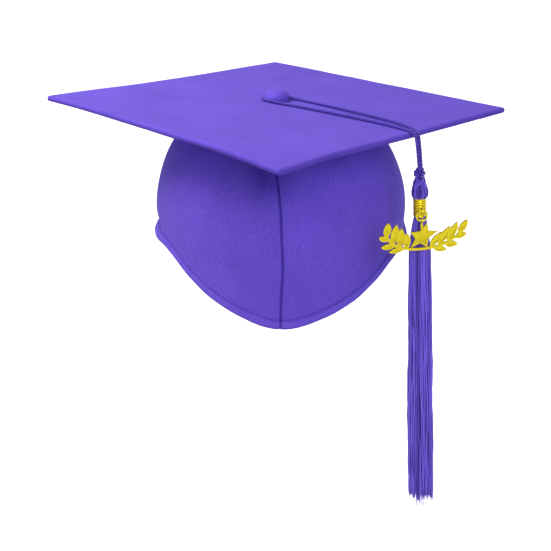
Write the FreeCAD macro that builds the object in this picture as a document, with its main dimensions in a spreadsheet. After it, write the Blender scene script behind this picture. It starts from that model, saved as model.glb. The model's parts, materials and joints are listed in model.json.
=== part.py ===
import FreeCAD, Part
import math
import os
import re
import Sketcher

# Graduation cap: a stiff square board on a soft skull cap, with a covered button
# and a corded tassel that carries a gold spring band and an openwork charm.
# Frame: millimetres, +Z up, the board level with one corner to the front (-Y).
# The origin is the middle of the head opening, 100 mm below the top of the board.

V = FreeCAD.Vector
NODES = []

# ---------------------------------------------------------------- driving sizes

SIZES = {
    # board
    "board_width": 240.0,
    "board_top": 100.0,
    "board_thick": 4.0,
    "cover_thick": 0.6,
    "cover_wall": 1.2,
    "corner_round": 2.5,
    "edge_round": 1.2,
    # skull cap
    "crown_radius": 94.5,
    "crown_centre": 22.0,
    "crown_thick": 1.4,
    "skirt_radius": 92.0,
    "peak_level": -40.0,
    "back_level": 9.0,
    "level_from": 36.0,
    "peak_arc_radius": 133.5,
    "peak_arc_side": 17.0,
    "peak_arc_height": 92.1,
    "seam_gap": 0.15,
    "facing_width": 8.0,
    "facing_thick": 0.8,
    "elastic_height": 10.0,
    "elastic_thick": 1.0,
    "elastic_angle": 160.0,
    "disc_thick": 0.8,
    # button
    "button_back": 12.0,
    "button_radius": 9.3,
    "button_base": 100.3,
    "button_height": 8.0,
    "button_dome": 5.6,
    "button_wall": 0.6,
    "post_radius": 2.0,
    "post_flange": 7.8,
    "washer_radius": 8.0,
    "washer_thick": 1.0,
    # cord
    "cord_radius": 1.1,
    "cord_lift": 0.3,
    "loop_radius": 10.7,
    # knot and tassel, measured from the button and down the hanging line
    "hang_out": 136.9,
    "hang_side": -2.5,
    "hang_lean": 5.2,
    "knot_height": 74.9,
    "knot_radius": 3.9,
    "head_top": 70.5,
    "head_widest": 63.0,
    "head_bottom": 58.2,
    "head_radius": 5.9,
    "neck_radius": 4.3,
    "core_radius": 2.4,
    "band_bottom": 43.9,
    "band_radius": 3.5,
    "band_wire": 1.0,
    "band_turns": 7.0,
    "fringe_top": 43.7,
    "fringe_waist": 20.0,
    "fringe_full": -20.0,
    "fringe_end": -167.0,
    "fringe_tip": -174.0,
    "neck_reach": 4.6,
    "waist_reach": 7.0,
    "full_reach": 7.9,
    "end_reach": 8.6,
    # ring and charm
    "charm_front": 9.0,
    "eye_height": 50.7,
    "eye_radius": 1.75,
    "eye_wire": 0.5,
    "stem_wire": 0.4,
    "ring_radius": 3.5,
    "ring_wire": 0.7,
    "charm_star": 9.6,
    "charm_thick": 1.6,
    "charm_rim": 0.9,
    "charm_recess": 0.5,
    "charm_slant": 18.0,
    "charm_drop": 14.2,
}

doc = FreeCAD.newDocument("graduation_cap")
sheet = doc.addObject("Spreadsheet::Sheet", "Sizes")
for row, (alias, value) in enumerate(SIZES.items(), start=1):
    sheet.set("A%d" % row, alias)
    sheet.set("B%d" % row, str(value))
    sheet.setAlias("B%d" % row, alias)
doc.recompute()


def size(alias):
    """The value of one cell of the sheet."""
    return float(sheet.get(alias))


def number(expression):
    """An expression written with the sheet's aliases, worked out to a number."""
    result = sheet.evalExpression(linked(expression))
    return float(getattr(result, "Value", result))


def bind(item, **expressions):
    """Bind properties of an object to expressions on the sheet."""
    for name, expression in expressions.items():
        item.setExpression(name, linked(expression))


def linked(expression):
    """The expression with each alias written as a reference to the sheet."""
    return re.sub(r"[a-z]+(_[a-z0-9]+)+", lambda found: "Sizes." + found.group(), expression)


# ---------------------------------------------------------------- shape helpers


def primitive(kind, name, sizes, at=("0", "0", "0"), turn=None):
    """A Part primitive with its sizes and its place bound to the sheet."""
    item = doc.addObject("Part::" + kind, name)
    bind(item, **sizes)
    if turn is not None:
        axis, angle = turn
        item.Placement = FreeCAD.Placement(V(0, 0, 0), FreeCAD.Rotation(axis, angle))
    for letter, expression in zip("xyz", at):
        if expression != "0":
            item.setExpression("Placement.Base." + letter, linked(expression))
    return item


def combine(kind, name, base, tool):
    """A boolean of two objects: Cut, Common or Fuse."""
    item = doc.addObject("Part::" + kind, name)
    item.Base = base
    item.Tool = tool
    return item


def fuse_all(name, items):
    """One object from several that touch or overlap."""
    item = doc.addObject("Part::MultiFuse", name)
    item.Shapes = items
    return item


def node(item, label):
    """Mark an object as a finished sub-part, written under its label."""
    item.Label = label
    NODES.append(item)
    return item


def plane_of(body, role):
    """A body's own origin plane."""
    for feature in body.Origin.OriginFeatures:
        if feature.Role == role:
            return feature
    raise ValueError(role)


def outline(body, name, corners, role="XZ_Plane"):
    """A closed sketch through corners given as pairs of expressions.

    A third entry in a corner makes the side that starts there an arc, and is the
    arc's radius: a plus sign bulges it to the right of the way round.
    """
    sketch = body.newObject("Sketcher::SketchObject", name)
    sketch.AttachmentSupport = [(plane_of(body, role), "")]
    sketch.MapMode = "FlatFace"
    places = [V(number(c[0]), number(c[1]), 0) for c in corners]
    count = len(corners)
    for index, corner in enumerate(corners):
        start = places[index]
        end = places[(index + 1) % count]
        if len(corner) == 3:
            sketch.addGeometry(side_arc(start, end, corner[2]), False)
        else:
            sketch.addGeometry(Part.LineSegment(start, end), False)
    for index in range(count):
        join_sides(sketch, index, (index + 1) % count, corners)
    for index, corner in enumerate(corners):
        tie_corner(sketch, index, corner, places[index])
    return sketch


def side_arc(start, end, radius):
    """An arc between two corners, bulging to the right when radius is positive.

    It always runs counter-clockwise, as a sketch's arcs do.
    """
    chord = end - start
    half = chord.Length / 2
    sign = 1.0 if radius > 0 else -1.0
    rise = abs(radius) - math.sqrt(radius * radius - half * half)
    right = V(chord.y, -chord.x, 0).normalize()
    middle = (start + end) * 0.5 + right * (sign * rise)
    return Part.Arc(start, middle, end) if radius > 0 else Part.Arc(end, middle, start)


def ends_of(sketch, index, corners):
    """Sketcher's point numbers for the start and end of a side."""
    if len(corners[index]) < 3:
        return 1, 2
    arc = sketch.Geometry[index]
    start = V(number(corners[index][0]), number(corners[index][1]), 0)
    forward = (arc.StartPoint - start).Length < 1e-4
    return (1, 2) if forward else (2, 1)


def join_sides(sketch, index, following, corners):
    """Make the end of one side and the start of the next the same point."""
    end = ends_of(sketch, index, corners)[1]
    start = ends_of(sketch, following, corners)[0]
    sketch.addConstraint(Sketcher.Constraint("Coincident", index, end, following, start))


def tie_corner(sketch, index, corner, place):
    """Tie one corner to the sketch's origin with two bound distances."""
    for kind, expression, measure in (
        ("DistanceX", corner[0], place.x),
        ("DistanceY", corner[1], place.y),
    ):
        start = 1
        if len(corner) == 3:
            arc = sketch.Geometry[index]
            start = 1 if (arc.StartPoint - place).Length < 1e-4 else 2
        made = sketch.addConstraint(Sketcher.Constraint(kind, -1, 1, index, start, measure))
        sketch.setExpression("Constraints[%d]" % made, linked(expression))


def turned(name, corners):
    """A body of revolution about its own Z axis from an outline of radius and height."""
    body = doc.addObject("PartDesign::Body", name)
    sketch = outline(body, name + "_outline", corners)
    turn = body.newObject("PartDesign::Revolution", name + "_turn")
    turn.Profile = sketch
    turn.ReferenceAxis = (sketch, ["V_Axis"])
    turn.Angle = 360.0
    sketch.Visibility = False
    body.Tip = turn
    doc.recompute()
    return body


def hang(item, label, forward=0.0, height=0.0):
    """Mark a finished piece of the tassel and hang it from the knot.

    The piece is made on the origin's vertical line. It is moved forward and up,
    stood on the hanging line, and leaned outward from the board about the knot.
    """
    x, y = from_button(size("hang_out"), size("hang_side"))
    lean = FreeCAD.Rotation(V(-1, -1, 0), size("hang_lean"))
    about_knot = FreeCAD.Placement(V(x, y, 0), lean, V(0, 0, size("knot_height")))
    offset = FreeCAD.Placement(V(0, -forward, height), item.Placement.Rotation)
    item.Placement = about_knot.multiply(offset)
    node(item, label)


def from_button(out, side):
    """Plan position from a distance out to the front-right edge and along it."""
    root = math.sqrt(0.5)
    x = (out + side) * root
    y = size("button_back") + (side - out) * root
    return x, y


def check_volume(item, expected, what):
    """Stop if a shape's volume isn't near what its sizes say."""
    volume = item.Shape.Volume
    if abs(volume - expected) > 0.02 * expected:
        raise RuntimeError("%s: volume %.1f, expected %.1f" % (what, volume, expected))


# ---------------------------------------------------------------- the board


def square_block(name, half_diagonal, low, high, corner_round):
    """A square slab with a corner on each axis and rounded upright edges."""
    body = doc.addObject("PartDesign::Body", name)
    corners = [
        ("0", "-1 * " + half_diagonal),
        (half_diagonal, "0"),
        ("0", half_diagonal),
        ("-1 * " + half_diagonal, "0"),
    ]
    sketch = outline(body, name + "_outline", corners, "XY_Plane")
    bind_attachment(sketch, low)
    pad = body.newObject("PartDesign::Pad", name + "_pad")
    pad.Profile = sketch
    bind(pad, Length=high + " - (" + low + ")")
    body.Tip = pad
    doc.recompute()
    fillet = body.newObject("PartDesign::Fillet", name + "_corners")
    fillet.Base = (pad, edge_names(pad.Shape, is_upright))
    bind(fillet, Radius=corner_round)
    body.Tip = fillet
    doc.recompute()
    return body


def bind_attachment(sketch, height):
    """Lift a sketch to a height bound to the sheet."""
    sketch.setExpression("AttachmentOffset.Base.z", linked(height))


def edge_names(shape, wanted):
    """The names of a shape's edges that pass a test."""
    return ["Edge%d" % (i + 1) for i, edge in enumerate(shape.Edges) if wanted(edge)]


def is_upright(edge):
    box = edge.BoundBox
    return box.ZLength > 0.1 and box.XLength < 1e-6 and box.YLength < 1e-6


def round_rim(body, name, height, radius):
    """Round the edges of a body that lie wholly at one height."""
    base = body.Tip
    level = number(height)

    def on_level(edge):
        box = edge.BoundBox
        return abs(box.ZMin - level) < 1e-6 and abs(box.ZMax - level) < 1e-6

    fillet = body.newObject("PartDesign::Fillet", name)
    fillet.Base = (base, edge_names(base.Shape, on_level))
    bind(fillet, Radius=radius)
    body.Tip = fillet
    doc.recompute()


def bore_post_hole(item, name):
    """Cut the button post's clearance hole through a slab."""
    hole = primitive(
        "Cylinder",
        name + "_hole",
        {"Radius": "post_radius + 0.3", "Height": "board_thick + 4"},
        at=("0", "button_back", "board_top - board_thick - 2"),
    )
    return combine("Cut", name + "_bored", item, hole)


def make_board():
    """A stiff core in a fabric cover: a tray over the top and edges, a sheet below."""
    diagonal = "board_width / 2 * sqrt(2)"
    inner = "(board_width / 2 - cover_wall) * sqrt(2)"
    under = "board_top - board_thick"

    floor = under + " + cover_thick"
    ceiling = "board_top - cover_thick"

    tray = square_block("tray_solid", diagonal, floor, "board_top", "corner_round")
    round_rim(tray, "tray_rim", "board_top", "edge_round")
    room = square_block("tray_room", inner, floor, ceiling, "corner_round")
    core = square_block("core_solid", inner, floor, ceiling, "corner_round")
    sheet_below = square_block("under_solid", diagonal, under, floor, "corner_round")
    tray_open = combine("Cut", "tray_open", tray, room)

    node(bore_post_hole(tray_open, "tray"), "board_cover_top")
    node(bore_post_hole(core, "core"), "board_core")
    node(bore_post_hole(sheet_below, "under"), "board_cover_under")


# ---------------------------------------------------------------- the skull cap


def dome(name, inset):
    """The skull cap's outer form made smaller all round by inset: a ball over a skirt."""
    radius = "crown_radius - " + inset
    back_seam = (V(0, 0, 1), 90)
    ball = primitive(
        "Sphere",
        name + "_ball",
        {"Radius": radius},
        at=("0", "0", "crown_centre"),
        turn=back_seam,
    )
    skirt = primitive(
        "Cone",
        name + "_skirt",
        {
            "Radius1": "skirt_radius - " + inset,
            "Radius2": radius,
            "Height": "crown_centre - peak_level + 4",
        },
        at=("0", "0", "peak_level - 4"),
        turn=back_seam,
    )
    upper = primitive(
        "Box",
        name + "_upper",
        {
            "Length": "crown_radius * 4",
            "Width": "crown_radius * 4",
            "Height": "board_top - board_thick - crown_centre",
        },
        at=("-2 * crown_radius", "-2 * crown_radius", "crown_centre"),
    )
    cap = combine("Common", name + "_cap", ball, upper)
    return combine("Fuse", name, cap, skirt)


def shell_between(name, outer_inset, inner_inset):
    """A thin layer of cloth between two insets of the skull cap's form."""
    outer = dome(name + "_outer", outer_inset)
    inner = dome(name + "_inner", inner_inset)
    return combine("Cut", name, outer, inner)


def side_block(name, side, low, high):
    """A box on one side of the centre seam, between two heights."""
    start = "seam_gap" if side > 0 else "-1 * seam_gap - crown_radius * 2"
    return primitive(
        "Box",
        name,
        {"Length": "crown_radius * 2", "Width": "crown_radius * 4", "Height": high + " - (" + low + ")"},
        at=(start, "-2 * crown_radius", low),
    )


def peak_cylinder(name, side, raised="0"):
    """The drum along Y whose inside is the cloth above the front's pointed hem."""
    sign = "-1" if side > 0 else "1"
    return primitive(
        "Cylinder",
        name,
        {"Radius": "peak_arc_radius", "Height": "crown_radius * 2"},
        at=(sign + " * peak_arc_side", "0.01", "peak_arc_height + " + raised),
        turn=(V(1, 0, 0), 90),
    )


def back_block(name, low, high):
    """A box round the sides and the back, where the edge is level, between two heights."""
    return primitive(
        "Box",
        name,
        {"Length": "crown_radius * 4", "Width": "crown_radius * 3", "Height": high + " - (" + low + ")"},
        at=("-2 * crown_radius", "-1 * level_from", low),
    )


def make_crown_panel(side, label):
    """Half of the skull cap, from the front seam round to the back seam."""
    shell = shell_between(label + "_shell", "0", "crown_thick")
    half = combine(
        "Common",
        label + "_half",
        shell,
        side_block(label + "_side", side, "peak_level - 4", "board_top - board_thick"),
    )
    front = peak_cylinder(label + "_peak", side)
    back = back_block(label + "_back", "back_level", "board_top")
    keep = combine("Fuse", label + "_keep", front, back)
    node(combine("Common", label + "_cut", half, keep), label)


def make_facing(side, label):
    """The turned hem behind one side of the pointed front edge."""
    shell = shell_between(label + "_shell", "crown_thick", "(crown_thick + facing_thick)")
    half = combine(
        "Common",
        label + "_half",
        shell,
        side_block(label + "_side", side, "peak_level - 4", "board_top - board_thick"),
    )
    above_hem = combine("Common", label + "_above", half, peak_cylinder(label + "_peak", side))
    inner_edge = peak_cylinder(label + "_inner_peak", side, "facing_width")
    strip = combine("Cut", label + "_strip", above_hem, inner_edge)
    level_part = back_block(label + "_level", "peak_level", "board_top")
    node(combine("Cut", label + "_front", strip, level_part), label)


def make_elastic():
    """An elastic band along the back edge, and the cloth casing that holds it."""
    for label, inset, thick, rise in (
        ("elastic_band", "crown_thick + 0.1", "elastic_thick", "1.5"),
        ("elastic_casing", "crown_thick + elastic_thick + 0.2", "facing_thick", "0"),
    ):
        outer_radius = "skirt_radius - 0.5 - (" + inset + ")"
        outer = primitive(
            "Cylinder",
            label + "_outer",
            {"Radius": outer_radius, "Height": "elastic_height", "Angle": "elastic_angle"},
            at=("0", "0", "back_level + " + rise),
        )
        outer.Placement.Rotation = FreeCAD.Rotation(V(0, 0, 1), 90 - size("elastic_angle") / 2)
        inner = primitive(
            "Cylinder",
            label + "_inner",
            {"Radius": outer_radius + " - " + thick, "Height": "elastic_height * 3"},
            at=("0", "0", "back_level - elastic_height"),
        )
        node(combine("Cut", label + "_strip", outer, inner), label)


def make_crown_disc():
    """The cloth disc inside the crown, under the board, that takes the crown's seam."""
    reach = "sqrt(crown_radius ^ 2 - (board_top - board_thick - crown_centre) ^ 2)"
    disc = primitive(
        "Cylinder",
        "disc_round",
        {"Radius": reach + " - crown_thick - 1.2", "Height": "disc_thick"},
        at=("0", "0", "board_top - board_thick - disc_thick"),
    )
    node(bore_post_hole(disc, "disc"), "crown_top_disc")


# ---------------------------------------------------------------- the button


def domed_shell(name, inset, low):
    """A domed cap of the button wall's thickness, set in from the button's outside."""
    shoulder = "button_base + button_height - button_dome"
    outer = "(button_radius - " + inset + ")"
    rise = "(button_dome - " + inset + ")"
    return turned(
        name,
        [
            (outer + " - button_wall", low),
            (outer, low),
            (outer, shoulder, dome_radius(outer, rise)),
            ("0", shoulder + " + " + rise),
            (
                "0",
                shoulder + " + " + rise + " - button_wall",
                -dome_radius(outer + " - button_wall", rise + " - button_wall"),
            ),
            (outer + " - button_wall", shoulder),
        ],
    )


def dome_radius(reach, rise):
    """The radius of a dome from half its width and its rise, so that its top is level."""
    return (number(reach) ** 2 + number(rise) ** 2) / (2 * number(rise))


def make_button():
    """A cloth-covered dome on a post through the board, held by a washer below."""
    cover = domed_shell("cover_body", "0", "button_base")
    shell = domed_shell("shell_body", "(button_wall + 0.1)", "button_base")
    flange = primitive(
        "Cylinder",
        "post_flange_disc",
        {"Radius": "post_flange", "Height": "1.0"},
        at=("0", "button_back", "button_base"),
    )
    shank = primitive(
        "Cylinder",
        "post_shank",
        {"Radius": "post_radius", "Height": "board_thick + disc_thick + washer_thick + 1.4"},
        at=("0", "button_back", "board_top - board_thick - disc_thick - washer_thick - 0.9"),
    )
    washer = primitive(
        "Cylinder",
        "washer_disc",
        {"Radius": "washer_radius", "Height": "washer_thick"},
        at=("0", "button_back", "board_top - board_thick - disc_thick - washer_thick - 0.3"),
    )
    bore = primitive(
        "Cylinder",
        "washer_bore",
        {"Radius": "post_radius", "Height": "washer_thick * 3"},
        at=("0", "button_back", "board_top - board_thick - disc_thick - washer_thick * 2 - 0.3"),
    )
    for body in (cover, shell):
        body.setExpression("Placement.Base.y", linked("button_back"))
    node(cover, "button_cover")
    node(shell, "button_shell")
    node(combine("Fuse", "post_whole", flange, shank), "button_post")
    node(combine("Cut", "washer_whole", washer, bore), "button_washer")


# ---------------------------------------------------------------- the cord


def loop_route():
    """The cord's route, up from the knot, round the button and back to the knot.

    Each point is a distance out from the button, a distance along the board's
    edge and a height.
    """
    flat = size("board_top") + size("cord_lift") + size("cord_radius")
    knot_end = size("knot_height") + size("knot_radius") + 0.6
    button_corner = size("loop_radius") / math.cos(math.radians(23.75))
    points = [
        (136.9, -3.75, knot_end),
        (134.6, -3.85, 92.0),
        (132.3, -4.1, flat),
        (122.5, -2.5, flat),
        (108.0, -0.9, flat),
        (84.0, -1.2, flat),
        (48.0, -4.2, flat),
        (15.0, -8.7, flat),
    ]
    for turn in (15.75, 63.25, 110.75, 158.25):
        angle = math.radians(turn)
        points.append((-button_corner * math.sin(angle), -button_corner * math.cos(angle), flat))
    points += [
        (14.0, 10.2, flat),
        (44.0, 11.3, flat),
        (80.0, 10.3, flat),
        (104.0, 8.8, flat),
        (118.5, 5.4, flat),
        (132.3, -0.9, flat),
        (134.6, -1.15, 92.0),
        (136.9, -1.25, knot_end),
    ]
    return [V(*from_button(out, side), height) for out, side, height in points]


def rounded_path(points):
    """Straight runs joined by arcs, each as large as its two runs allow."""
    edges = []
    radii = []
    start = points[0]
    for before, corner, after in zip(points, points[1:], points[2:]):
        into = corner - before
        out = after - corner
        half_turn = into.getAngle(out) / 2
        cut = 0.45 * min(into.Length, out.Length)
        radii.append(cut / math.tan(half_turn))
        into.normalize()
        out.normalize()
        first = corner - into * cut
        last = corner + out * cut
        bulge = corner + (out - into).normalize() * (radii[-1] / math.cos(half_turn) - radii[-1])
        edges.append(Part.LineSegment(start, first).toShape())
        edges.append(Part.Arc(first, bulge, last).toShape())
        start = last
    edges.append(Part.LineSegment(start, points[-1]).toShape())
    return Part.Wire(edges), radii


def make_cord():
    """One cord, doubled: both ends at the knot and its loop round the button."""
    points = loop_route()
    path, radii = rounded_path(points)
    radius = size("cord_radius")
    section = Part.Wire(Part.makeCircle(radius, points[0], points[1] - points[0]))
    tube = path.makePipeShell([section], True, False)
    cord = doc.addObject("Part::Feature", "cord_tube")
    cord.Shape = tube
    cord.Placement = FreeCAD.Placement()
    print("cord length %.1f mm" % path.Length)
    print("cord radii", " ".join("%.1f" % r for r in radii))
    check_volume(cord, math.pi * radius**2 * path.Length, "cord")
    node(cord, "loop_cord")


# ---------------------------------------------------------------- the tassel


def make_knot():
    """The knot in the doubled cord, above the tassel."""
    x, y = from_button(size("hang_out"), size("hang_side"))
    knot = primitive("Sphere", "knot_ball", {"Radius": "knot_radius"}, at=("0", "0", "knot_height"))
    knot.Placement.Base.x = x
    knot.Placement.Base.y = y
    node(knot, "cord_knot")


def make_tassel():
    """The tied head, the yarn through the spring band and the long fringe."""
    head = turned(
        "head_body",
        [
            ("0", "head_bottom"),
            ("neck_radius", "head_bottom", 7.5),
            ("head_radius", "head_widest", 9.5),
            ("knot_radius * 0.62", "head_top"),
            ("0", "head_top"),
        ],
    )
    core = turned(
        "core_body",
        [
            ("0", "fringe_top"),
            ("core_radius", "fringe_top"),
            ("core_radius", "head_bottom"),
            ("0", "head_bottom"),
        ],
    )
    fringe = turned(
        "fringe_body",
        [
            ("0", "fringe_tip"),
            ("end_reach * 0.75", "fringe_tip"),
            ("end_reach", "fringe_end"),
            ("full_reach", "fringe_full"),
            ("waist_reach", "fringe_waist"),
            ("neck_reach", "fringe_top"),
            ("0", "fringe_top"),
        ],
    )
    for body, label in ((head, "tassel_head"), (core, "tassel_core"), (fringe, "fringe")):
        hang(body, label)


def make_band():
    """A gold band wound as a close spring, with an eye on its front."""
    turns = int(size("band_turns"))
    pitch = "(head_bottom - band_bottom - 2 * band_wire) / (band_turns - 1)"
    rings = []
    for index in range(turns):
        ring = primitive(
            "Torus",
            "band_turn_%d" % (index + 1),
            {"Radius1": "band_radius", "Radius2": "band_wire"},
            at=("0", "0", "band_bottom + band_wire + %d * %s" % (index, pitch)),
        )
        rings.append(ring)
    hang(fuse_all("band_whole", rings + [band_sleeve()]), "band_coil")


def band_sleeve():
    """The thin sleeve that holds the band's turns together."""
    outer = primitive(
        "Cylinder",
        "sleeve_outer",
        {"Radius": "band_radius", "Height": "head_bottom - band_bottom - 2 * band_wire"},
        at=("0", "0", "band_bottom + band_wire"),
    )
    inner = primitive(
        "Cylinder",
        "sleeve_inner",
        {"Radius": "core_radius + 0.1", "Height": "head_bottom - band_bottom + 2"},
        at=("0", "0", "band_bottom - 1"),
    )
    return combine("Cut", "sleeve", outer, inner)


def make_band_eye():
    """A wire eye on the band's front that the jump ring hangs from."""
    eye = primitive(
        "Torus",
        "eye_loop",
        {"Radius1": "eye_radius", "Radius2": "eye_wire"},
        at=("0", "-1 * charm_front", "eye_height"),
        turn=(V(0, 1, 0), 90),
    )
    stem = primitive(
        "Cylinder",
        "eye_stem",
        {"Radius": "stem_wire", "Height": "charm_front - eye_radius - band_radius - band_wire"},
        at=("0", "-1 * band_radius - band_wire", "eye_height"),
        turn=(V(1, 0, 0), 90),
    )
    hang(combine("Fuse", "eye_whole", eye, stem), "band_eye")


def make_jump_ring():
    """The wire ring that links the charm to the band's eye."""
    ring = primitive(
        "Torus",
        "ring_wire_loop",
        {"Radius1": "ring_radius", "Radius2": "ring_wire"},
        turn=(V(1, 0, 0), 90),
    )
    hang(ring, "jump_ring", size("charm_front"), size("eye_height") - size("ring_radius"))


# ---------------------------------------------------------------- the charm


def leaf(root, tip, width):
    """A pointed leaf between two places on the charm's face, as a wire."""
    chord = tip - root
    side = V(-chord.z, 0, chord.x).normalize() * (width / 2)
    middle = root + chord * 0.45
    upper = Part.Arc(root, middle + side, tip).toShape()
    lower = Part.Arc(tip, middle - side, root).toShape()
    return Part.Wire([upper, lower])


def star(centre, outer, inner):
    """A five-pointed star, as a wire."""
    places = []
    for index in range(10):
        radius = outer if index % 2 == 0 else inner
        angle = math.radians(90 + 36 * index)
        places.append(centre + V(radius * math.cos(angle), 0, radius * math.sin(angle)))
    return Part.makePolygon(places + places[:1])


def raised_shape(wire, inner_wire):
    """A flat shape with a raised rim: a plate with a shallow recess in its front."""
    thick = size("charm_thick")
    plate = Part.Face(wire).extrude(V(0, thick, 0))
    pocket = Part.Face(inner_wire).extrude(V(0, size("charm_recess"), 0))
    return plate.cut(pocket)


SPRAY_STEM = [(0.0, -8.9), (6.0, -8.6), (12.0, -7.6), (18.0, -5.2), (23.0, -1.2), (25.5, 3.5)]
SPRAY_LEAVES = [
    # root, tip, width of each leaf of the right-hand spray
    ((7.5, -8.0), (12.0, 2.4), 5.0),
    ((12.8, -7.2), (16.4, 6.2), 5.4),
    ((18.2, -5.0), (20.4, 9.0), 5.4),
    ((24.0, 0.0), (26.6, 10.4), 5.0),
    ((9.5, -8.2), (19.6, -10.2), 3.8),
    ((16.4, -6.0), (26.0, -6.6), 4.2),
    ((22.2, -2.0), (29.4, 0.6), 3.8),
]


def on_charm(place, side):
    """A place on the charm's face, for the right-hand spray or its mirror image."""
    return V(side * place[0], 0, place[1])


def spray(side):
    """The stem and leaves of one side."""
    rim = size("charm_rim")
    pieces = stem_bar([on_charm(place, side) for place in SPRAY_STEM], rim)
    for root, tip, width in SPRAY_LEAVES:
        root = on_charm(root, side)
        tip = on_charm(tip, side)
        chord = (tip - root).normalize()
        inner = leaf(root + chord * rim * 2, tip - chord * rim * 2, width - rim * 2)
        pieces.append(raised_shape(leaf(root, tip, width), inner))
    return pieces


def stem_bar(places, half_width):
    """A slim bar that follows the stem of a spray."""
    thick = size("charm_thick")
    bars = []
    for start, end in zip(places, places[1:]):
        chord = end - start
        side = V(-chord.z, 0, chord.x).normalize() * half_width
        corners = [start - side, end - side, end + side, start + side]
        bars.append(Part.Face(Part.makePolygon(corners + corners[:1])).extrude(V(0, thick, 0)))
        bars.append(Part.makeCylinder(half_width, thick, end, V(0, 1, 0)))
    return bars


def charm_plate():
    """The flat ornament, slanted, with its centre of mass at its own origin."""
    rim = size("charm_rim")
    outer = size("charm_star")
    inner = outer * 0.48
    middle = V(0, 0, 0)
    recess = star(middle, outer - rim * 2.6, inner - rim)
    pieces = [raised_shape(star(middle, outer, inner), recess)] + spray(-1) + spray(1)
    plate = pieces[0].multiFuse(pieces[1:])
    slant = FreeCAD.Matrix()
    slant.A13 = math.tan(math.radians(size("charm_slant")))
    plate = plate.transformGeometry(slant).Solids[0]
    balance = plate.CenterOfMass
    plate.translate(V(-balance.x, -balance.y, 0))
    return plate


def make_charm():
    """An openwork ornament: a star between two sprays of leaves, hung by an eye."""
    thick = size("charm_thick")
    drop = size("charm_drop")
    plate = charm_plate()
    eye_rise = drop - size("ring_radius")
    eye = Part.makeTorus(size("eye_radius"), size("eye_wire"), V(0, 0, eye_rise), V(1, 0, 0))
    tab_low = size("charm_star") * 0.3
    tab_high = eye_rise - size("eye_radius")
    tab = Part.makeBox(1.6, thick, tab_high - tab_low, V(-0.8, -thick / 2, tab_low))
    whole = plate.multiFuse([eye, tab]).removeSplitter()
    if len(whole.Solids) != 1:
        raise RuntimeError("the charm is in %d pieces" % len(whole.Solids))

    charm = doc.addObject("Part::Feature", "charm_whole")
    charm.Shape = whole.Solids[0]
    hang(charm, "charm", size("charm_front"), size("eye_height") - size("ring_radius") - drop)


# ---------------------------------------------------------------- build and write


def check_document():
    """Stop on any failed object or unsound sub-part."""
    doc.recompute()
    for item in doc.Objects:
        for state in item.State:
            if state in ("Invalid", "Error"):
                raise RuntimeError("%s is %s" % (item.Label, state))
    for item in NODES:
        if item.Shape.isNull() or not item.Shape.isValid():
            raise RuntimeError("%s has no sound shape" % item.Label)


def write_parts():
    """Write each sub-part to its own file and list its extent."""
    os.makedirs("parts", exist_ok=True)
    for item in NODES:
        item.Shape.exportStep(os.path.join("parts", item.Label + ".step"))
        box = item.Shape.BoundBox
        print(
            "%-20s solids %d volume %9.1f  x %7.1f %7.1f  y %7.1f %7.1f  z %7.1f %7.1f"
            % (item.Label, len(item.Shape.Solids), item.Shape.Volume,
               box.XMin, box.XMax, box.YMin, box.YMax, box.ZMin, box.ZMax)
        )


make_board()
make_crown_panel(-1, "crown_left")
make_crown_panel(1, "crown_right")
make_facing(-1, "hem_facing_left")
make_facing(1, "hem_facing_right")
make_elastic()
make_crown_disc()
make_button()
make_cord()
make_knot()
make_tassel()
make_band()
make_band_eye()
make_jump_ring()
make_charm()
check_document()
write_parts()
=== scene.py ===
import json
import math

import bmesh
import bpy
import numpy as np
from mathutils import Matrix, Vector


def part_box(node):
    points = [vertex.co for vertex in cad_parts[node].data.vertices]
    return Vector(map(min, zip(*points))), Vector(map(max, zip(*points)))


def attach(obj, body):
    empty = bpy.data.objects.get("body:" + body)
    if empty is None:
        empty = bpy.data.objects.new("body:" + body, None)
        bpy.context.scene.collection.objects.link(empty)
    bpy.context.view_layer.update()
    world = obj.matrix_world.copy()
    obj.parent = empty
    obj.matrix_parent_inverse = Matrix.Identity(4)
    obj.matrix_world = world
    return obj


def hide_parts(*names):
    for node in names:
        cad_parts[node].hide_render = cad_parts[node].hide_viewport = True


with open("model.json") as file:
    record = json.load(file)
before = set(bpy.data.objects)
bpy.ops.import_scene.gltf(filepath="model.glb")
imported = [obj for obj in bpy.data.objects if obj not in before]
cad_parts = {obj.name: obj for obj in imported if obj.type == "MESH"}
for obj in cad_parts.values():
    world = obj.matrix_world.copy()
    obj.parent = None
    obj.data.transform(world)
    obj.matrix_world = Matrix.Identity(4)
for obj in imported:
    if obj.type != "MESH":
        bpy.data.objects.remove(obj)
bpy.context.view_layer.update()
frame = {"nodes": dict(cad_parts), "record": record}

# A graduation cap: cloth-covered board, soft skull cap, covered button, doubled cord
# and a tassel with a gold spring band and charm. Metres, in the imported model's frame:
# +Z up, a corner of the board and the cap's pointed front towards -Y.

# ---------------- driving values

MM = 0.001
ROOT = math.sqrt(0.5)
TURN = 2 * math.pi

BOARD_CORNER = 2.5 * MM
BOARD_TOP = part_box("board_cover_top")[1].z
BOARD_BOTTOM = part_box("board_cover_under")[0].z
BOARD_BEND = 5.2 * MM
FRONT_TIP_DROP = 2.6 * MM
BOARD_HALF = (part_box("board_cover_top")[1].x + 0.414 * BOARD_CORNER) * ROOT

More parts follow.
